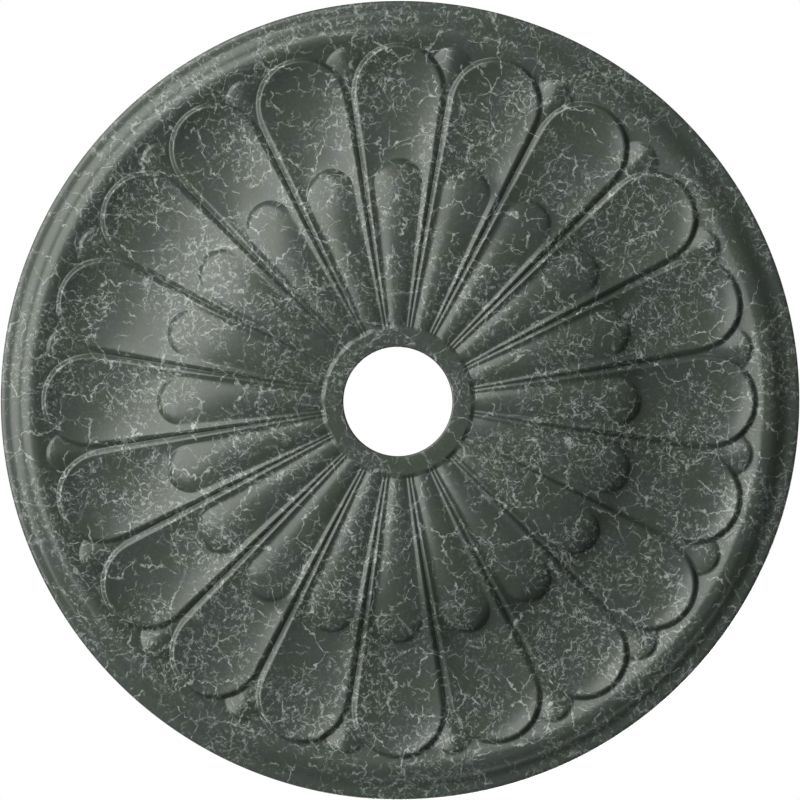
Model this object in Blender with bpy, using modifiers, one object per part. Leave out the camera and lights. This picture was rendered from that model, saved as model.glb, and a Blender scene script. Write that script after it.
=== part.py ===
"""Ceiling rose: a round moulding of twenty fluted petals, cast in one piece.

It is modelled as it hangs: the flat back lies on the ceiling at z = 0 and the carved face
looks down, towards -Z. Plan sizes and heights are in millimetres until a vertex is made.
Half of one petal is drawn as a plan of crease lines, given its height, and then mirrored
and repeated round the centre.
"""
import math

import bmesh
import bpy
from mathutils import Vector
from mathutils.geometry import delaunay_2d_cdt

# Driving dimensions in millimetres; heights are measured down from the ceiling
MM = 0.001
PETALS = 20
OUTER_R = 339.7
HOLE_R = 46.0
HOLE_BACK_R = 50.0
PROJECTION = 44.4
HUB_HEIGHT = 41.8
HUB_EASE = 1.6
HUB_FLAT_R = 62.1
REED_START_R = 65.5
DOME_R = 115.0
DOME_HEIGHT = 41.5
RIM_CREST_R = 311.3

# Plan of one petal: half angles in degrees, and how far out each rounded tip's centre lies
GAP_ANGLE = 180.0 / PETALS
REED_ANGLE = 6.45
REED_TIP_R = 184.4
LIP_ANGLE = 7.75
LIP_TIP_R = 264.4
FOOT_TIP_R = 263.9
DART_TIP_R = 283.3
DART_FOOT = 20.6
DART_CREST = 16.1
DART_FALL = 0.022

# Heights at stations along the radius: (radius, height)
FLOOR = ((65.5, 39.1), (73.0, 40.1), (82.0, 40.9), (95.0, 41.4), (DOME_R, DOME_HEIGHT),
         (140.0, 39.8), (160.0, 36.8), (175.0, 33.1), (190.0, 27.2), (205.0, 19.9), (220.0, 15.8),
         (235.0, 12.8), (250.0, 10.8), (271.0, 9.6))
REED_RISE = ((65.5, 2.0), (90.0, 2.6), (DOME_R, PROJECTION - DOME_HEIGHT), (145.0, 3.1),
             (170.0, 3.3), (190.0, 4.4), (205.0, 5.6))
LIP_RISE = ((65.5, 0.9), (87.0, 1.25), (109.0, 1.6), (135.0, 2.0), (165.0, 2.9), (195.0, 3.4),
            (215.0, 3.6), (240.0, 3.8), (262.0, 3.9), (285.0, 4.8), (300.2, 6.6))
GAP_DROP = ((65.5, 0.8), (87.0, 1.0), (109.0, 1.3), (135.0, 1.7), (165.0, 2.4), (195.0, 2.9),
            (262.0, 3.1))
DART_RIDGE = ((260.6, 11.0), (280.0, 12.2), (300.0, 14.2))
COVE = ((285.0, 7.7), (294.7, 9.7), (299.4, 11.2), (304.5, 12.95), (307.5, 14.0),
        (RIM_CREST_R, 14.7))
RIM = ((RIM_CREST_R, 14.7), (313.9, 14.5), (317.3, 13.6), (320.7, 11.5), (324.1, 8.4),
       (327.5, 5.9), (329.5, 4.85), (331.5, 4.3), (334.2, 4.0), (336.2, 3.75), (338.0, 3.1),
       (OUTER_R, 0.8))

# How the cross-sections swell: the reed's side and its blunt end, and the scoop's rise to the lip
REED_SEAT = 0.05
REED_FULLNESS = 2.2
REED_END_FULLNESS = 8.0
REED_BLUNT = ((140.0, 1.0), (175.0, 0.8), (205.0, 0.75))
DISH_FULLNESS = ((65.5, 6.5), (160.0, 6.0), (190.0, 4.0), (215.0, 2.6), (240.0, 2.1))

# Where the plan's lines get their points
RING_ANGLES = (0.0, GAP_ANGLE / 2, GAP_ANGLE)
HUB_RINGS = (HOLE_R, HOLE_R + HUB_EASE, HUB_FLAT_R, REED_START_R)
REED_STATIONS = (REED_START_R, 80.0, 97.0, 115.0, 140.0, 165.0)
REED_LINES = ((0.30, 3), (0.55, 3), (0.82, 4), (1.0, 4))
LIP_STATIONS = (REED_START_R, 80.0, 97.0, 115.0, 140.0, 165.0, 185.0, 205.0, 225.0, 243.0)
LIP_TURNS = 7
FLOOR_LINES = ((0.86, 4), (0.62, 3))
AXIS_STATIONS = (213.0, 225.0, 240.0, 256.0)
DART_STATIONS = (272.0, 286.0)
DART_TURNS = 3
COVE_BEND_R = 304.5
RIM_RINGS = (RIM_CREST_R, 315.6, 318.6, 322.4, 326.2, 329.5, 334.2, 337.3, OUTER_R)
ON_LINE = 0.01

PAINT = (0.055, 0.076, 0.060, 1.0)


def along(stations, radius):
    """Height at a radius on a smooth curve through the stations."""
    if radius <= stations[0][0]:
        return stations[0][1]
    if radius >= stations[-1][0]:
        return stations[-1][1]
    last = len(stations) - 1
    index = max(i for i in range(last) if stations[i][0] <= radius)
    slopes = []
    for i in (index, index + 1):
        before, after = stations[max(i - 1, 0)], stations[min(i + 1, last)]
        slopes.append((after[1] - before[1]) / (after[0] - before[0]))
    (r0, h0), (r1, h1) = stations[index], stations[index + 1]
    span = r1 - r0
    t = (radius - r0) / span
    rise = h0 * (2 * t**3 - 3 * t**2 + 1) + h1 * (3 * t**2 - 2 * t**3)
    return rise + span * (slopes[0] * (t**3 - 2 * t**2 + t) + slopes[1] * (t**3 - t**2))


def polar(radius, degrees):
    angle = math.radians(degrees)
    return (radius * math.cos(angle), radius * math.sin(angle))


def arch_point(angle, tip_r, turn):
    """Point on the round end of a ray arch, turn degrees away from the petal's axis."""
    reach = tip_r * math.sin(math.radians(angle))
    x, y = polar(reach, turn)
    return (tip_r + x, y)


def inside(point, angle, tip_r):
    """Distance inside a ray arch, and the arch's half width there."""
    x, y = point
    sine, cosine = math.sin(math.radians(angle)), math.cos(math.radians(angle))
    run = x * cosine + y * sine
    if run < tip_r * cosine:
        return x * sine - y * cosine, run / cosine * sine
    return tip_r * sine - math.hypot(x - tip_r, y), tip_r * sine


def eased(t):
    """An S from 0 to 1 that leaves and arrives flat."""
    t = min(max(t, 0.0), 1.0)
    return t * t * (3 - 2 * t)


def softened(depth):
    """A share of the reed's half width, with its start at the valley rounded over."""
    return math.sqrt(depth * depth + REED_SEAT**2) - REED_SEAT


def reed(point):
    """Height of the reed above the petal's floor: a full rib with a blunter, steeper end."""
    depth, half = inside(point, REED_ANGLE, REED_TIP_R)
    if depth <= 0:
        return 0.0
    radius = math.hypot(*point)
    ahead = min(max((point[0] - REED_TIP_R) / half, 0.0), 1.0)
    fullness = REED_FULLNESS + (REED_END_FULLNESS - REED_FULLNESS) * ahead
    full = softened(depth / half) / softened(1.0)
    return along(REED_RISE, radius) * (1 - (1 - full) ** fullness) ** along(REED_BLUNT, radius)


def below_petals(point):
    """Height of what lies round the petals: the gap between two, the dart and the cove."""
    radius = math.hypot(*point)
    if radius < FOOT_TIP_R * math.cos(math.radians(GAP_ANGLE)):
        return along(FLOOR, radius) + along(LIP_RISE, radius) - along(GAP_DROP, radius)
    axis_x, axis_y = polar(1.0, GAP_ANGLE)
    sideways = point[0] * axis_y - point[1] * axis_x
    dart = along(DART_RIDGE, radius) - DART_FALL * sideways**2
    distance = math.dist(point, polar(DART_TIP_R, GAP_ANGLE))
    if radius > DART_TIP_R and distance > DART_CREST:
        share = eased((distance - DART_CREST) / (DART_FOOT - DART_CREST))
        dart += (along(COVE, radius) - dart) * share
    return dart


def height(point):
    """Height of the carved face below the ceiling at a point of the half petal."""
    radius = math.hypot(*point)
    if radius <= HUB_FLAT_R:
        fall = max(HOLE_R + HUB_EASE - radius, 0.0) / HUB_EASE
        return HUB_HEIGHT - HUB_EASE * (1 - math.sqrt(max(1 - fall * fall, 0.0)))
    if radius >= RIM_CREST_R:
        return along(RIM, radius)
    depth, half = inside(point, LIP_ANGLE, LIP_TIP_R)
    floor, rise = along(FLOOR, radius), along(LIP_RISE, radius)
    if depth >= 0:
        scoop = max(1 - depth / half, 0.0) ** along(DISH_FULLNESS, radius)
        face = floor + rise * scoop + reed(point)
    else:
        foot_depth, _ = inside(point, GAP_ANGLE, FOOT_TIP_R)
        share = depth / (depth - foot_depth) if foot_depth > 0 else 1.0
        face = floor + rise + (below_petals(point) - floor - rise) * share
    if radius < REED_START_R:
        share = (radius - HUB_FLAT_R) / (REED_START_R - HUB_FLAT_R)
        return HUB_HEIGHT + (face - HUB_HEIGHT) * share
    return face


def ring(radius):
    return [polar(radius, degrees) for degrees in RING_ANGLES]


def arch_line(stations, angle, tip_r, turns):
    """A line along a ray at some stations, and round the arch's tip to the petal's axis."""
    line = [polar(radius, angle) for radius in stations]
    quarter = 90 + angle
    return line + [arch_point(angle, tip_r, quarter * (1 - i / turns)) for i in range(turns + 1)]


def foot_turn(reach):
    """Where a circle round the dart's tip crosses the petal's foot, as a turn on the foot's arc."""
    foot = FOOT_TIP_R * math.sin(math.radians(GAP_ANGLE))
    x, y = polar(DART_TIP_R, GAP_ANGLE)
    x -= FOOT_TIP_R
    away = math.hypot(x, y)
    bend = math.acos((foot * foot + away * away - reach * reach) / (2 * foot * away))
    return math.degrees(math.atan2(y, x) - bend)


def dart_line(reach):
    """An arc round the dart's tip, from the gap's middle to the petal's foot."""
    tip_x, tip_y = polar(DART_TIP_R, GAP_ANGLE)
    foot_x, foot_y = arch_point(GAP_ANGLE, FOOT_TIP_R, foot_turn(reach))
    sweep = GAP_ANGLE - math.degrees(math.atan2(foot_y - tip_y, foot_x - tip_x))
    points = []
    for i in range(DART_TURNS + 1):
        x, y = polar(reach, GAP_ANGLE - sweep * i / DART_TURNS)
        points.append((tip_x + x, tip_y + y))
    return points


def plan_lines():
    """Every crease line of the half petal, as lists of plan points."""
    lines = [[(radius, 0.0) for radius in (*REED_STATIONS, REED_TIP_R)]]
    for share, turns in REED_LINES:
        lines.append(arch_line(REED_STATIONS, REED_ANGLE * share, REED_TIP_R, turns))
    lines.append(arch_line(LIP_STATIONS, LIP_ANGLE, LIP_TIP_R, LIP_TURNS))
    lines.append(arch_line((), GAP_ANGLE, FOOT_TIP_R, LIP_TURNS))
    lines += [dart_line(DART_FOOT), dart_line(DART_CREST)]
    lines += [[polar(radius, GAP_ANGLE)] for radius in (*LIP_STATIONS, *DART_STATIONS)]
    lines += [[(radius, 0.0)] for radius in AXIS_STATIONS]
    for share, turns in FLOOR_LINES:
        angle = LIP_ANGLE * share
        lines += [[arch_point(angle, LIP_TIP_R, 90 * (1 - i / turns))] for i in range(turns + 1)]
    lines += [ring(radius) for radius in (*HUB_RINGS, COVE_BEND_R, *RIM_RINGS)]
    return lines


def border(points):
    """Indices of the half petal's outline: out along its axis and back along the gap."""
    angles = [math.degrees(math.atan2(y, x)) for x, y in points]
    radii = [math.hypot(x, y) for x, y in points]
    order = sorted(range(len(points)), key=lambda i: radii[i])
    axis = [i for i in order if abs(angles[i]) < ON_LINE]
    gap = [i for i in order if abs(angles[i] - GAP_ANGLE) < ON_LINE]
    between = [i for i in order if ON_LINE < angles[i] < GAP_ANGLE - ON_LINE]
    outer = [i for i in between if radii[i] > OUTER_R - ON_LINE]
    inner = [i for i in between if radii[i] < HOLE_R + ON_LINE]
    return axis + outer + gap[::-1] + inner


def half_petal():
    """Mesh of the half petal's face, open at the two planes where it meets its neighbours."""
    places, edges = {}, []
    for line in plan_lines():
        row = [places.setdefault((round(x, 3), round(y, 3)), len(places)) for x, y in line]
        edges += [(a, b) for a, b in zip(row, row[1:]) if a != b]
    points = list(places)
    verts, _, faces, *_ = delaunay_2d_cdt([Vector(p) for p in points], edges, [border(points)], 1, 1e-4)
    mesh = bmesh.new()
    made = [mesh.verts.new((v.x * MM, v.y * MM, -height(v) * MM)) for v in verts]
    for face in faces:
        mesh.faces.new([made[i] for i in reversed(face)])
    return mesh


def edges_at(mesh, radius, top):
    """The edges of one ring: at the ceiling if top is true, or else in the face."""
    found = []
    for edge in mesh.edges:
        radii = [math.hypot(v.co.x, v.co.y) for v in edge.verts]
        flat = all(abs(r - radius * MM) < 1e-6 for r in radii)
        if flat and all((v.co.z == 0) == top for v in edge.verts):
            found.append(edge)
    return found


def close_to_ceiling(mesh):
    """Run the hole's wall and the outer edge up to the ceiling, and close the flat back."""
    for radius, back_r in ((HOLE_R, HOLE_BACK_R), (OUTER_R, OUTER_R)):
        grown = bmesh.ops.extrude_edge_only(mesh, edges=edges_at(mesh, radius, False))
        for vert in grown["geom"]:
            if isinstance(vert, bmesh.types.BMVert):
                vert.co *= back_r / radius
                vert.co.z = 0
    back = edges_at(mesh, HOLE_BACK_R, True) + edges_at(mesh, OUTER_R, True)
    bmesh.ops.bridge_loops(mesh, edges=back)
    bmesh.ops.recalc_face_normals(mesh, faces=mesh.faces)
    highest = max(mesh.faces, key=lambda face: face.calc_center_median().z)
    if highest.normal.z < 0:
        bmesh.ops.reverse_faces(mesh, faces=mesh.faces)


def paint():
    material = bpy.data.materials.new("dark green paint")
    material.use_nodes = True
    shader = material.node_tree.nodes["Principled BSDF"]
    shader.inputs["Base Color"].default_value = PAINT
    shader.inputs["Roughness"].default_value = 0.5
    shader.inputs["Metallic"].default_value = 0.0
    return material


def ceiling_rose(collection):
    """The casting: half a petal, mirrored, and repeated round the centre."""
    shape = half_petal()
    close_to_ceiling(shape)
    mesh = bpy.data.meshes.new("ceiling_rose")
    shape.to_mesh(mesh)
    shape.free()
    rose = bpy.data.objects.new("ceiling_rose", mesh)
    rose.data.materials.append(paint())
    collection.objects.link(rose)
    mirror = rose.modifiers.new("other half of the petal", "MIRROR")
    mirror.use_axis = (False, True, False)
    mirror.merge_threshold = 0.0001
    turn = bpy.data.objects.new("one petal's turn", None)
    turn.rotation_euler.z = 2 * math.pi / PETALS
    collection.objects.link(turn)
    petals = rose.modifiers.new("petals", "ARRAY")
    petals.count = PETALS
    petals.use_relative_offset = False
    petals.use_object_offset = True
    petals.offset_object = turn
    petals.use_merge_vertices = True
    petals.use_merge_vertices_cap = True
    petals.merge_threshold = 0.0001
    return rose


def main():
    for thing in list(bpy.data.objects):
        bpy.data.objects.remove(thing)
    collection = bpy.data.collections.new("Ceiling rose")
    bpy.context.scene.collection.children.link(collection)
    ceiling_rose(collection)


main()
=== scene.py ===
# %% [markdown]
# A ceiling rose is a round moulding that hides the hole where a light's cable comes out of a
# ceiling. This one is cast in urethane foam and painted by hand: a flat ring round the hole,
# twenty scooped petals with a reed down the middle of each, small darts between their tips, and
# a stepped rim. It hangs face down, so the camera lies under it and looks up. The foam and the
# way of painting are the usual ones for such roses: a photograph cannot prove either.
#
# The carving is one casting, so it is one mesh here too. The cells below drape small grids over
# the carving, one grid to each kind of surface, join them into half a petal, mirror that half
# and spin it round the centre. The finish is worked out after the form is closed.

import math

import bpy
from mathutils import Matrix, Vector


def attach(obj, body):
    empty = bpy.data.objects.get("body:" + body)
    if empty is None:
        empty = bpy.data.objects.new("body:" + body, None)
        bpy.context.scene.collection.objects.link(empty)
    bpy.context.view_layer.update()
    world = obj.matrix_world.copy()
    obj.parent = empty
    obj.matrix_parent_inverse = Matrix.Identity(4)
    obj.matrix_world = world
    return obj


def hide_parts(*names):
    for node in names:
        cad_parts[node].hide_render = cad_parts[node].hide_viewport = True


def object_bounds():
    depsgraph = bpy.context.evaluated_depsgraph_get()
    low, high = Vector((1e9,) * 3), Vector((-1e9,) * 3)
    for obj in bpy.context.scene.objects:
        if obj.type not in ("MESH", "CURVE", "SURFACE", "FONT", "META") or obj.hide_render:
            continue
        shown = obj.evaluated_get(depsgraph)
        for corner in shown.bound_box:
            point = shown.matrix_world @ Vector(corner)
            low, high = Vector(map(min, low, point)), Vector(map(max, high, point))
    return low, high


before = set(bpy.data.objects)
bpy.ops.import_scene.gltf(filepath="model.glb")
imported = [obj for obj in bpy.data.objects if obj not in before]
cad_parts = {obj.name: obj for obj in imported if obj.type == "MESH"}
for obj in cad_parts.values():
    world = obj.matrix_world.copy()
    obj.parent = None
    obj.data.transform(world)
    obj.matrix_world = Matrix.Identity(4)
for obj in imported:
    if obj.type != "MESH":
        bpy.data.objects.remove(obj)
solid_low, solid_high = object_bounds()
bpy.ops.object.select_all(action="DESELECT")
print("solid is", [round(v * 1000, 1) for v in solid_high - solid_low], "mm")

# %% [markdown]
# The photograph looks at the face almost squarely, but the hub ring, which stands nearest the
# camera, sits two pixels left of the rim's centre. Six metres is a guess at the distance. The
# lean of about two degrees was then chosen to put the hub where the photograph has it, and the
# lens to let the rim fill the frame. The picture's right is +X and its top is -Y.

# %% The camera
CAMERA_DISTANCE = 6.0
LEAN_RIGHT = math.radians(1.83)
LEAN_UP = math.radians(1.08)
SENSOR = 36.0
PICTURE = 800.0
RIM_PIXELS = 798.9
AIM = Vector((0.0005, -0.0006, 0.0))


def add_camera():
    """A long lens under the rose; its picture's top is towards -Y."""
    bpy.ops.object.camera_add()
    camera = bpy.context.object
    camera.name = "camera"
    sideways = Vector((math.sin(LEAN_RIGHT), -math.sin(LEAN_UP), 0.0))
    away = Vector((sideways.x, sideways.y, -math.sqrt(1 - sideways.length_squared)))
    camera.location = AIM + away * CAMERA_DISTANCE
    forward = -away
    top = (Vector((0, -1, 0)) + forward * forward.y).normalized()
    right = forward.cross(top)
    camera.matrix_world = Matrix((
        (right.x, top.x, -forward.x, camera.location.x),
        (right.y, top.y, -forward.y, camera.location.y),
        (right.z, top.z, -forward.z, camera.location.z),
        (0, 0, 0, 1),
    ))
    camera.data.sensor_width = SENSOR
    width = solid_high.x - solid_low.x
    camera.data.lens = SENSOR * CAMERA_DISTANCE * RIM_PIXELS / PICTURE / width
    bpy.context.scene.camera = camera
    return camera


camera = add_camera()
print("lens", round(camera.data.lens, 1), "mm at", [round(v, 3) for v in camera.location])

# %% [markdown]
# Every line of the petal belongs to one family. Draw two rays from the rose's centre, at equal
# angles on both sides of the petal's axis, and close them with the circle that touches both:
# that is a ray arch. The reed's edge, the petal's lip and the foot of its outer face are three
# such arches. Between two petals the dart's round tip is a part of a circle of its own.
#
# Plan sizes and heights are in millimetres, as a modeller would read them off a drawing, and
# heights are measured down from the ceiling.

# %% The plan's driving sizes
MM = 0.001
PETALS = 20
GAP_ANGLE = 180.0 / PETALS
OUTER_R = solid_high.x / MM
HOLE_R, HOLE_BACK_R = 46.0, 50.0
HUB_FLAT_R, HUB_FOOT_R = 61.6, 65.0
REED_START_R = 65.5
RIM_CREST_R = 311.3

REED_ANGLE, REED_TIP_R = 6.45, 184.4
LIP_ANGLE, LIP_TIP_R = 7.75, 264.4
FOOT_TIP_R = 263.9
DART_TIP_R, DART_CREST, DART_FOOT = 283.3, 17.2, 20.6


def polar(radius, degrees):
    angle = math.radians(degrees)
    return (radius * math.cos(angle), radius * math.sin(angle))


def mixed(a, b, share):
    """A plan point on the straight line from a to b."""
    return tuple(p + (q - p) * share for p, q in zip(a, b))


def arch_tip(angle, tip_r, turn):
    """Point on the round end of a ray arch, turn degrees away from the petal's axis."""
    x, y = polar(tip_r * math.sin(math.radians(angle)), turn)
    return (tip_r + x, y)


def inside(point, angle, tip_r):
    """Distance inside a ray arch, and the arch's half width there."""
    x, y = point
    sine, cosine = math.sin(math.radians(angle)), math.cos(math.radians(angle))
    run = x * cosine + y * sine
    if run < tip_r * cosine:
        return x * sine - y * cosine, run / cosine * sine
    return tip_r * sine - math.hypot(x - tip_r, y), tip_r * sine


print("the lip's tip reaches", round(LIP_TIP_R * (1 + math.sin(math.radians(LIP_ANGLE))), 1), "mm")

# %% [markdown]
# Heights come from a few stations along the radius, read as (radius, height) and joined by a
# smooth curve. The petal's floor is a low dome that falls away towards the rim. The reed, the
# scoop's rise to the lip, and the drop into the gap beside the petal are added to it.
#
# A face-on photograph shows no heights. Many of these stations, most of the floor's and the rim's
# among them, are the rounded output of scratch programs that turned the photograph's brightness
# into slopes under an assumed lamp. They were then shifted, and others were set or changed. They
# suit that lamp, and another lamp would have given other heights.

# %% Heights along the radius
FLOOR = ((65.5, 39.1), (73, 40.1), (82, 40.9), (95, 41.4), (115, 41.5), (140, 39.8), (160, 36.8),
         (175, 33.1), (190, 27.2), (205, 19.9), (220, 15.8), (235, 12.8), (250, 10.8), (271, 9.6))
REED_RISE = ((65.5, 2.0), (90, 2.6), (115, 2.9), (145, 3.1), (170, 3.3), (190, 4.4), (205, 5.6))
LIP_RISE = ((65.5, 0.7), (80, 0.9), (95, 1.2), (109, 1.55), (135, 2.0), (165, 2.9), (195, 3.4),
            (215, 3.6), (240, 3.8), (262, 3.9), (285, 4.8), (300.2, 6.6))
GAP_DROP = ((65.5, 0.45), (80, 0.6), (95, 0.95), (109, 1.3), (135, 1.7), (165, 2.4), (195, 2.9),
            (262, 3.1))
DISH_FULLNESS = ((65.5, 6.5), (160, 6.0), (190, 4.0), (215, 2.6), (240, 2.1))
DART_RIDGE = ((260.6, 10.5), (272, 10.9), (280, 11.8), (290, 13.8), (297, 14.8), (300.5, 14.8))
COVE = ((285, 7.7), (294.7, 9.7), (299.4, 11.2), (304.5, 12.95), (306, 13.5), (307.5, 14.0),
        (309, 14.45), (310.2, 14.66), (RIM_CREST_R, 14.7))
RIM = ((RIM_CREST_R, 14.7), (313.9, 14.5), (317.3, 13.6), (320.7, 11.5), (324.1, 8.4), (327.5, 5.9),
       (329.5, 4.85), (331.5, 4.3), (334.2, 4.0), (336.2, 3.75), (337.6, 3.35), (338.8, 2.7),
       (339.4, 2.2), (OUTER_R, 1.7))
HUB_HEIGHT = 41.8
HUB_EASE = 1.6


def along(stations, radius):
    """Height at a radius on a smooth curve through the stations."""
    if radius <= stations[0][0]:
        return stations[0][1]
    if radius >= stations[-1][0]:
        return stations[-1][1]
    last = len(stations) - 1
    index = max(i for i in range(last) if stations[i][0] <= radius)
    slopes = []
    for i in (index, index + 1):
        before, after = stations[max(i - 1, 0)], stations[min(i + 1, last)]
        slopes.append((after[1] - before[1]) / (after[0] - before[0]))
    (r0, h0), (r1, h1) = stations[index], stations[index + 1]
    span = r1 - r0
    t = (radius - r0) / span
    rise = h0 * (2 * t**3 - 3 * t**2 + 1) + h1 * (3 * t**2 - 2 * t**3)
    return rise + span * (slopes[0] * (t**3 - 2 * t**2 + t) + slopes[1] * (t**3 - t**2))


print("the reed's crest is", along(FLOOR, 115) + along(REED_RISE, 115), "mm below the ceiling")

# %% [markdown]
# A cast edge is never knife sharp, and light shows it: each lip carries a thin bright line along
# its crest and another at its foot, with a dark line between them where the face is steepest. So
# the outer faces follow an S, flat at both ends, and the scoop's edge is eased over its last
# millimetre. Round the petal's tip the face lands a little before its foot, which leaves a
# narrow flat there. The reed has a soft valley along its sides, and a blunt end.

# %% Heights across the petal
LIP_EASE = 0.6
REED_FULLNESS, REED_TIP_FULLNESS = 2.2, 8.0
REED_BLUNT = ((140, 1.0), (175, 0.8), (205, 0.75))
SIDE_SEAT, TIP_SEAT = 0.07, 0.02
FACE_FOOT, FACE_REACH = 0.85, 0.91
DART_PITCH, DART_ROUND = 0.36, 4.0
GAP_TO_DART = (252.0, 268.0)


def eased(t):
    """An S from 0 to 1 that leaves and arrives flat."""
    t = min(max(t, 0.0), 1.0)
    return t * t * (3 - 2 * t)


def passed(value, zone):
    """0 before the zone, 1 past it, and an S between them."""
    start, end = zone
    return eased((value - start) / (end - start))


def softened(distance, reach):
    """The distance, with its corner at zero rounded over about that reach."""
    return math.sqrt(distance * distance + reach * reach) - reach


def reed(point):
    """Height of the reed above the petal's floor."""
    depth, half = inside(point, REED_ANGLE, REED_TIP_R)
    if depth <= 0:
        return 0.0
    ahead = min(max((point[0] - REED_TIP_R) / half, 0.0), 1.0)
    seat = SIDE_SEAT + (TIP_SEAT - SIDE_SEAT) * ahead
    full = min(softened(depth / half, seat) / softened(1.0, seat), 1.0)
    fullness = REED_FULLNESS + (REED_TIP_FULLNESS - REED_FULLNESS) * ahead
    radius = math.hypot(*point)
    return along(REED_RISE, radius) * (1 - (1 - full) ** fullness) ** along(REED_BLUNT, radius)


def below_petals(point):
    """Height of what lies round the petals: the gap between two, the dart and the cove."""
    radius = math.hypot(*point)
    cove = along(COVE, radius)
    gap = along(FLOOR, radius) + along(LIP_RISE, radius) - along(GAP_DROP, radius)
    axis = polar(1.0, GAP_ANGLE)
    sideways = point[0] * axis[1] - point[1] * axis[0]
    dart = along(DART_RIDGE, radius) - DART_PITCH * softened(sideways, DART_ROUND)
    dart = gap + (dart - gap) * passed(radius, GAP_TO_DART)
    tip = polar(DART_TIP_R, GAP_ANGLE)
    distance = math.hypot(point[0] - tip[0], point[1] - tip[1])
    if radius > DART_TIP_R and distance > DART_CREST:
        dart += (cove - dart) * passed(distance, (DART_CREST, DART_FOOT))
    return dart


def height(point):
    """Height of the carved face below the ceiling, anywhere on the half petal."""
    radius = math.hypot(*point)
    if radius <= HUB_FLAT_R:
        fall = max(HOLE_R + HUB_EASE - radius, 0.0) / HUB_EASE
        return HUB_HEIGHT - HUB_EASE * (1 - math.sqrt(max(1 - fall * fall, 0.0)))
    if radius >= RIM_CREST_R:
        return along(RIM, radius)
    depth, half = inside(point, LIP_ANGLE, LIP_TIP_R)
    floor, rise = along(FLOOR, radius), along(LIP_RISE, radius)
    if depth >= 0:
        scoop = 1 - softened(depth, LIP_EASE) / half
        face = floor + rise * max(scoop, 0.0) ** along(DISH_FULLNESS, radius) + reed(point)
    else:
        foot_depth, _ = inside(point, GAP_ANGLE, FOOT_TIP_R)
        share = depth / (depth - foot_depth) if foot_depth > 0 else 1.0
        round_tip = passed(radius, GAP_TO_DART)
        share = min(share / (1 - (1 - FACE_REACH) * round_tip), 1.0)
        foot = FACE_FOOT + (1 - FACE_FOOT) * round_tip
        share = eased(share * foot) / eased(foot)
        face = floor + rise + (below_petals(point) - floor - rise) * share
    if radius < REED_START_R:
        share = min((radius - HUB_FLAT_R) / (HUB_FOOT_R - HUB_FLAT_R), 1.0)
        return HUB_HEIGHT + (face - HUB_HEIGHT) * share
    return face


for place, point in {"lip": arch_tip(LIP_ANGLE, LIP_TIP_R, 0), "channel": (305.2, 0.0)}.items():
    print("height at the", place, round(height(point), 2), "mm")

# %% [markdown]
# Shade falls in the hollows, and here it is painted into the colour as a darker tone. So each
# point of the carving also gets a measure of how hollow it is: how much higher the face stands in
# a small circle round it. Near the half petal's two sides that circle crosses them, so the point is
# first folded back. The deeper narrow gaps get the full painted shade, and most hollows and the
# shallow gaps beside the hub get less, because that is how dark they look in the photograph.

# %% How hollow the face is
FINE_CIRCLE, FINE_DEPTH = 1.5, 0.42
WIDE_CIRCLE, WIDE_DEPTH = 4.0, 1.8
CIRCLE_POINTS = 8
FINE_SHARE, WIDE_SHARE = 0.8, 0.25
# Outside the narrow gaps the hollows get only this share of the painted shade.
OPEN_HOLLOW_SHADE = 0.4
GAP_DEEPENS = (75.0, 130.0)


def folded(x, y):
    """The point of the half petal that looks the same as this one."""
    petal = 2 * GAP_ANGLE
    turn = (math.degrees(math.atan2(y, x)) + GAP_ANGLE) % petal - GAP_ANGLE
    return polar(math.hypot(x, y), abs(turn))


def rise_round(point, reach):
    """Mean height on a circle round the point, above the point's own."""
    total = 0.0
    for i in range(CIRCLE_POINTS):
        x, y = polar(reach, 360 * i / CIRCLE_POINTS)
        total += height(folded(point[0] + x, point[1] + y))
    return total / CIRCLE_POINTS - height(point)


def hollow(point):
    """0 on open and raised surfaces, towards 1 at the bottom of the gaps."""
    fine = min(max(rise_round(point, FINE_CIRCLE) / FINE_DEPTH, 0.0), 1.0)
    wide = min(max(rise_round(point, WIDE_CIRCLE) / WIDE_DEPTH, 0.0), 1.0)
    depth, _ = inside(point, LIP_ANGLE, LIP_TIP_R)
    radius = math.hypot(*point)
    narrow = eased(-depth) * passed(radius, GAP_DEEPENS) * (1 - passed(radius, GAP_TO_DART))
    # The painted shade is full in the narrow gaps and lighter elsewhere.
    share = OPEN_HOLLOW_SHADE + (1 - OPEN_HOLLOW_SHADE) * narrow
    return share * (1 - (1 - FINE_SHARE * fine) * (1 - WIDE_SHARE * wide))


for place, point in {"reed's end": (205.3, 0.0), "petal's floor": (240.0, 0.0)}.items():
    print("hollow at the", place, round(hollow(point), 2))

# %% [markdown]
# A grid that crosses the carving's lines would turn each crisp lip into a row of steps. So the
# grids' rows run across the petal and their columns run along its arches. Each row is held by
# four points: on the reed's axis, on the reed's edge, on the lip and on the foot. The rows are
# close together round the tips, where the arches turn.

# %% Rows across the petal
REED_ROWS, SCOOP_ROWS = 15, 10
TIP_ROWS, NOTCH_ROWS, SHARED_ROWS = 7, 4, 7
STRETCH = 1.4


def foot_turn(reach):
    """Where a circle round the dart's tip crosses the petal's foot, as a turn on the foot's arc."""
    foot = FOOT_TIP_R * math.sin(math.radians(GAP_ANGLE))
    x, y = polar(DART_TIP_R, GAP_ANGLE)
    x -= FOOT_TIP_R
    away = math.hypot(x, y)
    bend = math.acos((foot * foot + away * away - reach * reach) / (2 * foot * away))
    return math.degrees(math.atan2(y, x) - bend)


def foot_turns():
    """Turns of the rows round the tip: past the dart, down its face, and along the cove."""
    stops = (90 + GAP_ANGLE, foot_turn(DART_CREST), foot_turn(DART_FOOT), 0.0)
    turns = [stops[0]]
    for start, end, rows in zip(stops, stops[1:], (TIP_ROWS, NOTCH_ROWS, SHARED_ROWS)):
        turns += [start + (end - start) * (i + 1) / rows for i in range(rows)]
    return turns


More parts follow.
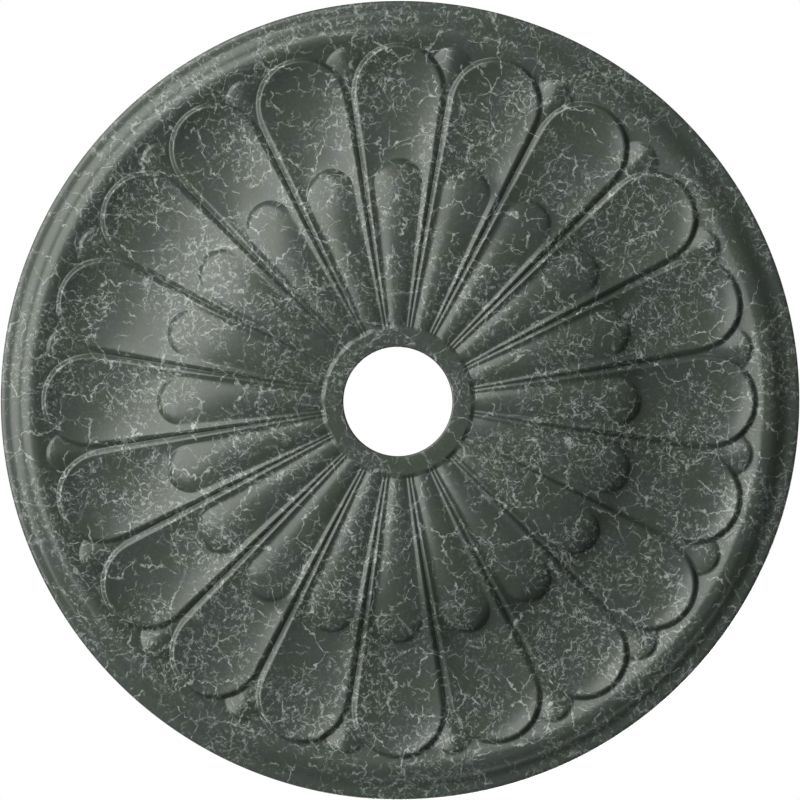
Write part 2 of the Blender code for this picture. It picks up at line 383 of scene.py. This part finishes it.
def petal_rows():
    """Each row's four points: reed's axis, reed's edge, lip and foot."""
    rows = []
    reed_end = REED_TIP_R * math.cos(math.radians(REED_ANGLE))
    lip_end = LIP_TIP_R * math.cos(math.radians(LIP_ANGLE))
    foot_end = FOOT_TIP_R * math.cos(math.radians(GAP_ANGLE))
    for i in range(REED_ROWS):
        radius = REED_START_R + (reed_end - REED_START_R) * (i / REED_ROWS) ** STRETCH
        rows.append([polar(radius, angle) for angle in (0.0, REED_ANGLE, LIP_ANGLE, GAP_ANGLE)])
    outer = []
    for i in range(SCOOP_ROWS):
        share = i / SCOOP_ROWS
        lip = polar(reed_end + (lip_end - reed_end) * share, LIP_ANGLE)
        outer.append((lip, polar(reed_end + (foot_end - reed_end) * share, GAP_ANGLE)))
    for turn in foot_turns():
        lip_turn = turn * (90 + LIP_ANGLE) / (90 + GAP_ANGLE)
        foot = arch_tip(GAP_ANGLE, FOOT_TIP_R, turn)
        outer.append((arch_tip(LIP_ANGLE, LIP_TIP_R, lip_turn), foot))
    for i, (lip, foot) in enumerate(outer):
        even = (90 + REED_ANGLE) * (1 - i / (len(outer) - 1))
        facing = math.degrees(math.atan2(lip[1], lip[0] - REED_TIP_R))
        turn = even if i == 0 else (even + facing) / 2
        rows.append([(REED_TIP_R, 0.0), arch_tip(REED_ANGLE, REED_TIP_R, turn), lip, foot])
    return rows


ROWS = petal_rows()
FIRST_TIP_ROW = REED_ROWS + SCOOP_ROWS
print(len(ROWS), "rows cross half a petal, from the hub to its tip")

# %% [markdown]
# Each grid starts as Blender's own grid primitive, one unit wide. Its vertices are then moved
# to their place in the plan and hung at the carving's height there: the grid is draped. Two
# grids that share a line of the plan get the same points on it, so they weld without a seam.

# %% Draping a grid
grids = []


def draped(name, columns, rows, place):
    """Add a grid and hang each vertex at the carving's height; place gives its plan point."""
    bpy.ops.mesh.primitive_grid_add(x_subdivisions=columns, y_subdivisions=rows, size=1)
    piece = bpy.context.object
    piece.name = name
    hollows = piece.data.attributes.new("hollow", "FLOAT", "POINT")
    for vert in piece.data.vertices:
        point = place(round((vert.co.x + 0.5) * columns), round((vert.co.y + 0.5) * rows))
        vert.co = (point[0] * MM, point[1] * MM, -height(point) * MM)
        hollows.data[vert.index].value = hollow(point)
    grids.append(piece)
    print(name, "has", len(piece.data.polygons), "faces")
    return piece


# %% [markdown]
# The reed is the long rounded rib down the middle. Its columns crowd towards the edge, where
# the section turns into the valley. Round the tip all its rows meet in one point.

# %% The reed
REED_SHARES = (0, 0.14, 0.28, 0.41, 0.53, 0.64, 0.74, 0.83, 0.90, 0.96, 1)


def on_reed(column, row):
    axis, edge = ROWS[row][:2]
    return mixed(axis, edge, REED_SHARES[column])


draped("reed", len(REED_SHARES) - 1, len(ROWS) - 1, on_reed)

# %% [markdown]
# The scoop lies between the reed and the lip. It is two millimetres wide beside the hub and
# nearly a hundred at the tip, so its columns are even where it is narrow, and graded where it is
# wide: close together at the lip and at the reed, and far apart on the calm floor between.

# %% The scoop
SCOOP_SHARES = (0, 0.02, 0.065, 0.14, 0.24, 0.35, 0.46, 0.57, 0.67, 0.76, 0.84, 0.905, 0.955,
                0.985, 1)
NARROW_TO_WIDE = (5.0, 40.0)


def in_scoop(column, row):
    edge, lip = ROWS[row][1:3]
    even = column / (len(SCOOP_SHARES) - 1)
    wide = passed(math.dist(edge, lip), NARROW_TO_WIDE)
    return mixed(edge, lip, even + (SCOOP_SHARES[column] - even) * wide)


draped("scoop", len(SCOOP_SHARES) - 1, len(ROWS) - 1, in_scoop)

# %% [markdown]
# Outside the lip the petal falls in a short steep face. Beside the next petal it ends in the
# groove that both share, and round the tip it ends on the dart and on the cove.

# %% The outer face
FACE_SHARES = (0, 0.13, 0.27, 0.41, 0.54, 0.67, 0.80, FACE_REACH, 1)
FACE_COLUMNS = len(FACE_SHARES) - 1


def on_face(column, row):
    lip, foot = ROWS[row][2:]
    return mixed(lip, foot, FACE_SHARES[column])


draped("outer face", FACE_COLUMNS, len(ROWS) - 1, on_face)

# %% [markdown]
# A dart fills the corner between two petals, like a small roof: a soft ridge that rises outwards,
# and a pitched side towards each petal. Its rows run from its outline to a spine along the
# ridge, so that the mesh rounds its tip in rings. Past the crest, its own short face falls to the
# cove, a ring that rises towards the rim.

# %% The dart and the cove
DART_ROWS = 6
DART_SHARES = (0, 0.17, 0.36, 0.65, 0.85, 0.95, 1)
SPINE_END_R = 291.0
COVE_COLUMNS = 7
NOTCH_ROW = FIRST_TIP_ROW + TIP_ROWS


def round_dart(start, row):
    """Point on the circle round the dart's tip that starts on the petal's foot at start."""
    x, y = polar(DART_TIP_R, GAP_ANGLE)
    dx, dy = start[0] - x, start[1] - y
    turn = math.degrees(math.atan2(dy, dx))
    ox, oy = polar(math.hypot(dx, dy), turn + (GAP_ANGLE - turn) * row / DART_ROWS)
    return (x + ox, y + oy)


def on_dart(column, row):
    if row <= TIP_ROWS:
        outline = ROWS[FIRST_TIP_ROW + row][3]
    else:
        outline = round_dart(ROWS[NOTCH_ROW][3], row - TIP_ROWS)
    start = math.hypot(*ROWS[FIRST_TIP_ROW][3])
    spine = polar(start + (SPINE_END_R - start) * row / (TIP_ROWS + DART_ROWS), GAP_ANGLE)
    return mixed(spine, outline, DART_SHARES[column])


def on_dart_face(column, row):
    return round_dart(ROWS[NOTCH_ROW + column][3], row)


def in_cove(column, row):
    if row <= DART_ROWS:
        inner = round_dart(ROWS[NOTCH_ROW + NOTCH_ROWS][3], DART_ROWS - row)
    else:
        inner = ROWS[NOTCH_ROW + NOTCH_ROWS + row - DART_ROWS][3]
    outer = polar(RIM_CREST_R, math.degrees(math.atan2(inner[1], inner[0])))
    return mixed(inner, outer, column / COVE_COLUMNS)


RIM_ROWS = DART_ROWS + SHARED_ROWS
draped("dart", len(DART_SHARES) - 1, TIP_ROWS + DART_ROWS, on_dart)
draped("dart face", NOTCH_ROWS, DART_ROWS, on_dart_face)
draped("cove", COVE_COLUMNS, RIM_ROWS, in_cove)

# %% [markdown]
# The rim and the hub ring are turned forms: the same section all the way round. Their grids
# carry on the rows and columns of what they touch, ring by ring.

# %% The rim and the hub ring
RIM_RINGS = 25
RIM_CROWDING = 0.3
HUB_RINGS = (HOLE_R, 46.1, 46.35, 46.8, 47.6, 54.0, 61.1, HUB_FLAT_R, 62.5, 63.8, HUB_FOOT_R,
             REED_START_R)


def on_rim(column, row):
    crest = in_cove(COVE_COLUMNS, row)
    share = column / RIM_RINGS
    share += RIM_CROWDING * share * (1 - share)
    radius = RIM_CREST_R + (OUTER_R - RIM_CREST_R) * share
    return polar(radius, math.degrees(math.atan2(crest[1], crest[0])))


def on_hub(column, row):
    scoop_end = len(REED_SHARES) + len(SCOOP_SHARES) - 2
    if column < len(REED_SHARES):
        start = on_reed(column, 0)
    elif column < scoop_end:
        start = in_scoop(column - len(REED_SHARES) + 1, 0)
    else:
        start = on_face(column - scoop_end, 0)
    return polar(HUB_RINGS[row], math.degrees(math.atan2(start[1], start[0])))


draped("rim", RIM_RINGS, RIM_ROWS, on_rim)
hub_columns = len(REED_SHARES) + len(SCOOP_SHARES) - 2 + FACE_COLUMNS
draped("hub", hub_columns, len(HUB_RINGS) - 1, on_hub)

# %% [markdown]
# Now the grids become one mesh, as they would by hand: join them, merge the doubled points on
# their borders, mirror the half petal, and spin copies of the whole petal round the centre.

# %% One petal, then twenty
WELD = 1.5e-6


def select(things):
    bpy.ops.object.select_all(action="DESELECT")
    for thing in things:
        thing.select_set(True)
    bpy.context.view_layer.objects.active = things[0]


select(grids)
bpy.ops.object.join()
rose = bpy.context.object
rose.name = "carved_rose"
bpy.ops.object.mode_set(mode="EDIT")
bpy.ops.mesh.select_all(action="SELECT")
bpy.ops.mesh.remove_doubles(threshold=WELD)
bpy.ops.object.mode_set(mode="OBJECT")

bpy.ops.object.modifier_add(type="MIRROR")
mirror = rose.modifiers[-1]
mirror.use_axis = (False, True, False)
mirror.merge_threshold = WELD
bpy.ops.object.modifier_apply(modifier=mirror.name)
print("one petal has", len(rose.data.polygons), "faces")

bpy.ops.object.mode_set(mode="EDIT")
bpy.ops.mesh.select_all(action="SELECT")
bpy.ops.mesh.spin(
    steps=PETALS - 1, dupli=True, angle=math.tau * (PETALS - 1) / PETALS,
    center=(0, 0, 0), axis=(0, 0, 1),
)
bpy.ops.mesh.select_all(action="SELECT")
bpy.ops.mesh.remove_doubles(threshold=WELD)
bpy.ops.object.mode_set(mode="OBJECT")
print(PETALS, "petals have", len(rose.data.polygons), "faces")

# %% [markdown]
# The carved face is still an open skin. Its two open borders, at the hole and at the rim, are
# extruded up to the ceiling, which makes the hole's wall and the outer edge. The hole widens a
# little on its way up: from below, only its front edge shows. Then the two loops at the ceiling
# are bridged into the flat back.

# %% The walls and the back


def select_edges(wanted):
    """Select the mesh's edges whose two ends both pass the test, in edit mode."""
    bpy.ops.object.mode_set(mode="OBJECT")
    mesh = rose.data
    for thing in (*mesh.vertices, *mesh.edges, *mesh.polygons):
        thing.select = False
    found = [e for e in mesh.edges if all(wanted(mesh.vertices[i].co) for i in e.vertices)]
    for edge in found:
        edge.select = True
    bpy.ops.object.mode_set(mode="EDIT")
    bpy.ops.mesh.select_mode(type="EDGE")
    return len(found)


def at_radius(radius):
    return lambda co: abs(math.hypot(co.x, co.y) - radius * MM) < WELD


for radius, back in ((HOLE_R, HOLE_BACK_R), (OUTER_R, OUTER_R)):
    count = select_edges(lambda co: at_radius(radius)(co) and co.z < 0)
    bpy.ops.mesh.extrude_edges_move()
    bpy.ops.transform.resize(value=(back / radius, back / radius, 0), center_override=(0, 0, 0))
    print("wall at", round(radius, 1), "mm has", count, "faces")
select_edges(lambda co: co.z == 0)
bpy.ops.mesh.bridge_edge_loops()
bpy.ops.mesh.select_all(action="SELECT")
bpy.ops.mesh.normals_make_consistent(inside=False)
bpy.ops.object.mode_set(mode="OBJECT")

# %% [markdown]
# Smooth shading hides the facets, except where two faces meet at more than the limit: round
# the back's edges, which the mould leaves square.

# %% Shading, and its place in the frame
SHARP = math.radians(60)

select([rose])
bpy.ops.object.shade_smooth_by_angle(angle=SHARP)
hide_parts("ceiling_rose")
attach(rose, "root")
triangles = sum(len(face.vertices) - 2 for face in rose.data.polygons)
print("the rose has", triangles, "triangles")

# %% [markdown]
# The finish is worked out with shader nodes. Written one by one they are hard to read, so a small
# class wraps a socket: sums with it add Math nodes, and one method adds any other node. The rest
# of the finish then reads like a recipe.

# %% Sums with shader sockets


class Wire:
    """A shader socket; Python's operators on it add Math nodes to its tree."""

    def __init__(self, tree, socket=None):
        self.tree = tree
        self.socket = socket

    def node(self, kind, settings, inputs, output=0):
        """Add a node: first its settings, then the values or links of its sockets."""
        made = self.tree.nodes.new("ShaderNode" + kind)
        for name, value in settings.items():
            setattr(made, name, value)
        for name, value in inputs.items():
            if isinstance(value, Wire):
                self.tree.links.new(value.socket, made.inputs[name])
            else:
                made.inputs[name].default_value = value
        return Wire(self.tree, made.outputs[output])

    def math(self, operation, *values):
        return self.node("Math", {"operation": operation}, dict(enumerate(values)))

    def __add__(self, other):
        return self.math("ADD", self, other)

    def __radd__(self, other):
        return self.math("ADD", other, self)

    def __sub__(self, other):
        return self.math("SUBTRACT", self, other)

    def __rsub__(self, other):
        return self.math("SUBTRACT", other, self)

    def __mul__(self, other):
        return self.math("MULTIPLY", self, other)

    def __rmul__(self, other):
        return self.math("MULTIPLY", other, self)

    def step(self, start, end):
        """0 below start, 1 above end, and an S between them; either may be a wire."""
        return self.node("MapRange", {"interpolation_type": "SMOOTHSTEP"},
                         {"Value": self, "From Min": start, "From Max": end})


# %% [markdown]
# The crackle is paint, not relief: a pale size shows through a dark top coat that tore as it
# dried. Its veins run along the edges of cells, so each layer of them is a Voronoi pattern's
# distance to the nearest edge, in millimetres, cut off at half a vein's width. The plan is bent
# by noise first, which gives the veins their kinks, and a patchy mask breaks them into pieces.

# %% Layers of crackle


def place_on_plan(tree):
    """The plan in millimetres, seen from below, whatever the height."""
    here = Wire(tree)
    spot = here.node("TexCoord", {}, {}, "Object")
    return here.node("VectorMath", {"operation": "MULTIPLY"}, {0: spot, 1: (1 / MM, 1 / MM, 0.0)})


def from_centre(plan):
    """Distance from the hole's centre."""
    return plan.node("VectorMath", {"operation": "LENGTH"}, {0: plan}, "Value")


def moved(plan, offset):
    return plan.node("VectorMath", {"operation": "ADD"}, {0: plan, 1: offset})


def cloud(plan, size, detail=1.0, offset=(0.0, 0.0, 0.0)):
    """Soft noise from 0 to 1 whose patches are about size millimetres across."""
    return plan.node("TexNoise", {"noise_dimensions": "2D"},
                     {"Vector": moved(plan, offset), "Scale": 1 / size, "Detail": detail})


def bent(plan, size, reach, offset):
    """The plan, pushed about by noise: patches of that size move by up to about reach."""
    push = plan.node("TexNoise", {"noise_dimensions": "2D"},
                     {"Vector": moved(plan, offset), "Scale": 1 / size, "Detail": 2.0}, "Color")
    centred = plan.node("VectorMath", {"operation": "SUBTRACT"}, {0: push, 1: (0.5, 0.5, 0.5)})
    scaled = plan.node("VectorMath", {"operation": "SCALE"}, {0: centred, "Scale": 2 * reach})
    return plan.node("VectorMath", {"operation": "ADD"}, {0: plan, 1: scaled})


def veins(plan, kinked, cell, width, offset):
    """Pale lines round cells of that size; width is their thinnest and thickest."""
    thin, thick = width
    cells = plan.node("TexVoronoi", {"voronoi_dimensions": "2D", "feature": "DISTANCE_TO_EDGE"},
                      {"Vector": moved(kinked, offset), "Scale": 1 / cell}, "Distance")
    half = cloud(plan, cell / 3, 1.0, offset).step(0.35, 0.68) * ((thick - thin) / 2) + thin / 2
    return 1 - (cells * cell).step(half, half + VEIN_BLUR)


VEIN_BLUR = 0.5
KINKS = ((15.0, 6.0, (3.0, 40.0, 0.0)), (4.6, 2.6, (70.0, 9.0, 0.0)), (1.9, 0.9, (27.0, 81.0, 0.0)))

# %% [markdown]
# Five layers make the crackle: long bold veins, medium ones, and three of fine short pieces that
# fill some zones and leave others calm. The rim and the middle have less of it. In each layer
# the veins come first and then the soft patches that keep them: size, detail, place, and how
# sharply a patch ends.

# %% The crackle
MEDIUM_EVERYWHERE, MEDIUM_IN_ZONES = 0.55, 0.4
FINE_EVERYWHERE, FINE_IN_ZONES = 0.05, 0.8
TINY_SHARE, CURL_SHARE = 0.7, 0.7
CURL_WIDTH = (0.003, 0.018)
FAINTEST, FADING = 0.35, 0.58
PAST_HUB, HUB_SHARE = (85.0, 125.0), 0.72
ON_RIM, RIM_SHARE = (304.0, 314.0), 0.8


def crackle(plan):
    """How much of the pale size shows, from 0 to 1."""
    kinked = plan
    for size, reach, offset in KINKS:
        kinked = bent(kinked, size, reach, offset)
    zone = cloud(plan, 62.0, 2.0, (4.0, 63.0, 0.0)).step(0.38, 0.6)
    bold = veins(plan, kinked, 31.0, (0.15, 1.05), (11.0, 5.0, 0.0))
    bold = bold * cloud(plan, 26.0, 2.0, (9.0, 77.0, 0.0)).step(0.45, 0.53)
    medium = veins(plan, kinked, 14.0, (0.1, 0.7), (57.0, 23.0, 0.0))
    medium = medium * cloud(plan, 15.0, 1.0, (31.0, 18.0, 0.0)).step(0.47, 0.55)
    medium = medium * (MEDIUM_EVERYWHERE + MEDIUM_IN_ZONES * zone)
    small = veins(plan, kinked, 7.5, (0.1, 0.55), (83.0, 46.0, 0.0))
    small = small * cloud(plan, 6.5, 1.0, (22.0, 51.0, 0.0)).step(0.48, 0.58)
    tiny = veins(plan, kinked, 4.3, (0.0, 0.35), (15.0, 68.0, 0.0))
    tiny = tiny * cloud(plan, 5.5, 1.0, (48.0, 3.0, 0.0)).step(0.5, 0.6) * TINY_SHARE
    curl = cloud(kinked, 7.0, 1.0, (61.0, 34.0, 0.0)) - 0.5
    curl = 1 - curl.math("ABSOLUTE", curl).step(*CURL_WIDTH)
    curl = curl * cloud(plan, 5.5, 1.0, (12.0, 90.0, 0.0)).step(0.51, 0.61) * CURL_SHARE
    fine = small.math("MAXIMUM", small, tiny.math("MAXIMUM", tiny, curl))
    fine = fine * (FINE_EVERYWHERE + FINE_IN_ZONES * zone)
    shown = bold.math("MAXIMUM", bold, medium)
    shown = shown.math("MAXIMUM", shown, fine)
    radius = from_centre(plan)
    share = HUB_SHARE + (1 - HUB_SHARE) * radius.step(*PAST_HUB)
    share = share - (1 - RIM_SHARE) * radius.step(*ON_RIM)
    return shown * share * (FAINTEST + FADING * cloud(plan, 3.0, 1.0).step(0.3, 0.65))


# %% [markdown]
# Under the crackle the dark green is itself uneven: soft patches of blue-grey and of olive, and a
# fine mottle. The grooves are darkened with painted shade. The walls are a dark reddish brown,
# and a thin ring of painted shade in that brown runs round the hole's edge. The back is bare of
# crackle and matte, the face an even satin.
#
# Seen nearly edge on, the face would mirror the softbox and burn out to white. So the gloss is
# dulled at grazing angles. That is a choice for the side views: a real satin grows shinier there,
# and the photograph, which is face on, shows neither.

# %% The paint
BLUE_GREY = (0.0382, 0.0490, 0.0436, 1.0)
OLIVE = (0.0368, 0.0490, 0.0354, 1.0)
PALE_SIZE = (0.284, 0.313, 0.298, 1.0)
WALL_BROWN = (0.030, 0.020, 0.019, 1.0)
# How dark the painted shade in the hollows is.
PAINTED_SHADE_SHARE = 0.52
MOTTLE, DARKEST = 0.5, 0.75
ROUGHNESS, MATTE = 0.27, 0.85
VEIN_ROUGHER, PATCH_ROUGHER = 0.08, 0.06
FACE_ENDS, WALL_ENDS = (-0.35, -0.15), (0.15, 0.3)
HOLE_SHADE_RING, HOLE_SHADE_SHARE = (HOLE_R + 0.2, HOLE_R + 1.2), 0.8
GRAZING = (0.62, 0.88)


def mix(factor, first, second):
    """Mix two colours by a factor."""
    return factor.node("Mix", {"data_type": "RGBA"}, {0: factor, 6: first, 7: second}, 2)


def shaded(colour, brightness):
    """The colour, made darker or brighter by a number."""
    return brightness.node("VectorMath", {"operation": "SCALE"}, {0: colour, "Scale": brightness})


def crackled_paint():
    paint = bpy.data.materials.new("crackled green paint")
    paint.use_nodes = True
    tree = paint.node_tree
    shader = tree.nodes["Principled BSDF"]
    plan = place_on_plan(tree)
    facing = plan.node("TexCoord", {}, {}, "Normal")
    upright = plan.node("SeparateXYZ", {}, {0: facing}, "Z")
    face = 1 - upright.step(*FACE_ENDS)
    wall = 1 - upright.math("ABSOLUTE", upright).step(*WALL_ENDS)
    ground = mix(cloud(plan, 34.0, 2.0, (44.0, 8.0, 0.0)).step(0.38, 0.62), BLUE_GREY, OLIVE)
    ground = shaded(ground, cloud(plan, 2.6, 2.0, (5.0, 29.0, 0.0)) * MOTTLE + DARKEST)
    pale = crackle(plan) * face
    hollow_here = plan.node("Attribute", {"attribute_name": "hollow"}, {}, "Fac")
    # Painted shade: the colour darkens where the surface is hollow.
    base = shaded(mix(pale, ground, PALE_SIZE), 1 - hollow_here * PAINTED_SHADE_SHARE)
    # Painted shade: a thin dark brown ring round the hole's rounded edge.
    hole_edge_shade = (1 - from_centre(plan).step(*HOLE_SHADE_RING)) * HOLE_SHADE_SHARE
    base = mix(wall.math("MAXIMUM", wall, hole_edge_shade), base, WALL_BROWN)
    patches = cloud(plan, 9.0, 2.0, (36.0, 72.0, 0.0))
    rough = pale * VEIN_ROUGHER + patches * PATCH_ROUGHER + ROUGHNESS
    grazing = plan.node("LayerWeight", {}, {"Blend": 0.5}, "Facing").step(*GRAZING)
    rough = rough + plan.math("MAXIMUM", 1 - face, grazing) * (MATTE - ROUGHNESS)
    tree.links.new(base.socket, shader.inputs["Base Color"])
    tree.links.new(rough.socket, shader.inputs["Roughness"])
    return paint


paint = crackled_paint()
rose.data.materials.clear()
rose.data.materials.append(paint)
print("the paint has", len(paint.node_tree.nodes), "nodes")

# %% [markdown]
# A plain pale floor lies well below, as in a room. It is kept out of the light that the carved
# face gathers, because the photograph's softbox and dim surroundings do that alone. They would
# leave the floor itself grey, so it also glows a little.

# %% The floor
FLOOR_Z = -9.5
FLOOR_SIZE = 120.0
FLOOR_PALE = (0.8, 0.8, 0.79, 1.0)
FLOOR_GLOW, FLOOR_ROUGHNESS = 0.5, 0.9

bpy.ops.mesh.primitive_plane_add(size=FLOOR_SIZE, location=(0, 0, FLOOR_Z))
floor = bpy.context.object
floor.name = "floor"
pale = bpy.data.materials.new("pale floor")
pale.use_nodes = True
sockets = pale.node_tree.nodes["Principled BSDF"].inputs
sockets["Base Color"].default_value = FLOOR_PALE
sockets["Emission Color"].default_value = FLOOR_PALE
sockets["Emission Strength"].default_value = FLOOR_GLOW
sockets["Roughness"].default_value = FLOOR_ROUGHNESS
floor.data.materials.append(pale)
floor.visible_diffuse = False
floor.visible_glossy = False

# %% [markdown]
# One big softbox at the picture's left, a little towards its top, makes every highlight: slopes
# that face it by 12 to 42 degrees mirror it, flatter and steeper ones miss it. Its size is given
# as angles seen from the rose, which say directly which slopes light up. Those angles were
# assumed: the photograph shows where a highlight ends, but not how steep the face is there.

# %% The softbox
BOX_DISTANCE = 6.0
BOX_ZENITH = math.radians(55)
BOX_AZIMUTH = math.radians(-154)
BOX_HALF_HEIGHT = math.radians(30)
BOX_HALF_WIDTH = math.radians(40)
BOX_RADIANCE = 4.2
BOX_COLOUR = (0.99, 0.99, 0.95)


def add_softbox(name, zenith, azimuth, half_height, half_width, radiance, colour=(1, 1, 1)):
    """An even rectangle of light that faces the rose, sized by the angles seen from there."""
    towards = Vector((math.sin(zenith) * math.cos(azimuth),
                      math.sin(zenith) * math.sin(azimuth), -math.cos(zenith)))
    bpy.ops.object.light_add(type="AREA", location=towards * BOX_DISTANCE)
    box = bpy.context.object
    box.name = name
    box.rotation_euler = towards.to_track_quat("Z", "Y").to_euler()
    box.data.shape = "RECTANGLE"
    box.data.size = 2 * BOX_DISTANCE * math.tan(half_width)
    box.data.size_y = 2 * BOX_DISTANCE * math.tan(half_height)
    box.data.energy = radiance * math.pi * box.data.size * box.data.size_y
    box.data.color = colour
    box.visible_camera = False
    sides = [round(side, 2) for side in (box.data.size, box.data.size_y)]
    print(name, sides, "m,", round(box.data.energy), "W")
    return box


add_softbox(
    "softbox", BOX_ZENITH, BOX_AZIMUTH, BOX_HALF_HEIGHT, BOX_HALF_WIDTH, BOX_RADIANCE, BOX_COLOUR,
)

# %% [markdown]
# In the photograph the rim's very edge is bright again at the lower right. A second lamp does
# that from behind the ceiling's plane: the rose itself keeps its light off all the carving. It
# is there for the likeness alone, as a real ceiling would be in its way.

# %% The light behind the rim
EDGE_ZENITH = math.radians(125)
EDGE_AZIMUTH = math.radians(60)
EDGE_HALF_HEIGHT = math.radians(20)
EDGE_HALF_WIDTH = math.radians(28)
EDGE_RADIANCE = 15.0

add_softbox(
    "edge light", EDGE_ZENITH, EDGE_AZIMUTH, EDGE_HALF_HEIGHT, EDGE_HALF_WIDTH, EDGE_RADIANCE,
)

# %% [markdown]
# The sky behind the rose is white, as in the photograph, but only the camera sees it so. What
# lights the carving is dimmer, and dimmer still on the side away from the softbox: faces that
# turn that way are the darkest in the photograph.

# %% The sky
SKY_WHITE = 1.0
SURROUND = 0.34
DARK_SIDE = math.radians(36)
DARK_SHARE = 0.8
DARK_ENDS = (0.45, 0.92)

world = bpy.data.worlds.new("white behind, dim around")
bpy.context.scene.world = world
world.use_nodes = True
sky = Wire(world.node_tree)
direction = sky.node("TexCoord", {}, {}, "Generated")
dark_way = (math.cos(DARK_SIDE), math.sin(DARK_SIDE), 0.0)
away = sky.node("VectorMath", {"operation": "DOT_PRODUCT"}, {0: direction, 1: dark_way}, "Value")
around = SURROUND * (1 - DARK_SHARE * away.step(*DARK_ENDS))
seen = sky.node("LightPath", {}, {}, "Is Camera Ray")
strength = around + seen * (SKY_WHITE - around)
background = world.node_tree.nodes["Background"]
background.inputs["Color"].default_value = (1, 1, 1, 1)
world.node_tree.links.new(strength.socket, background.inputs["Strength"])
bpy.context.scene.view_settings.view_transform = "Standard"
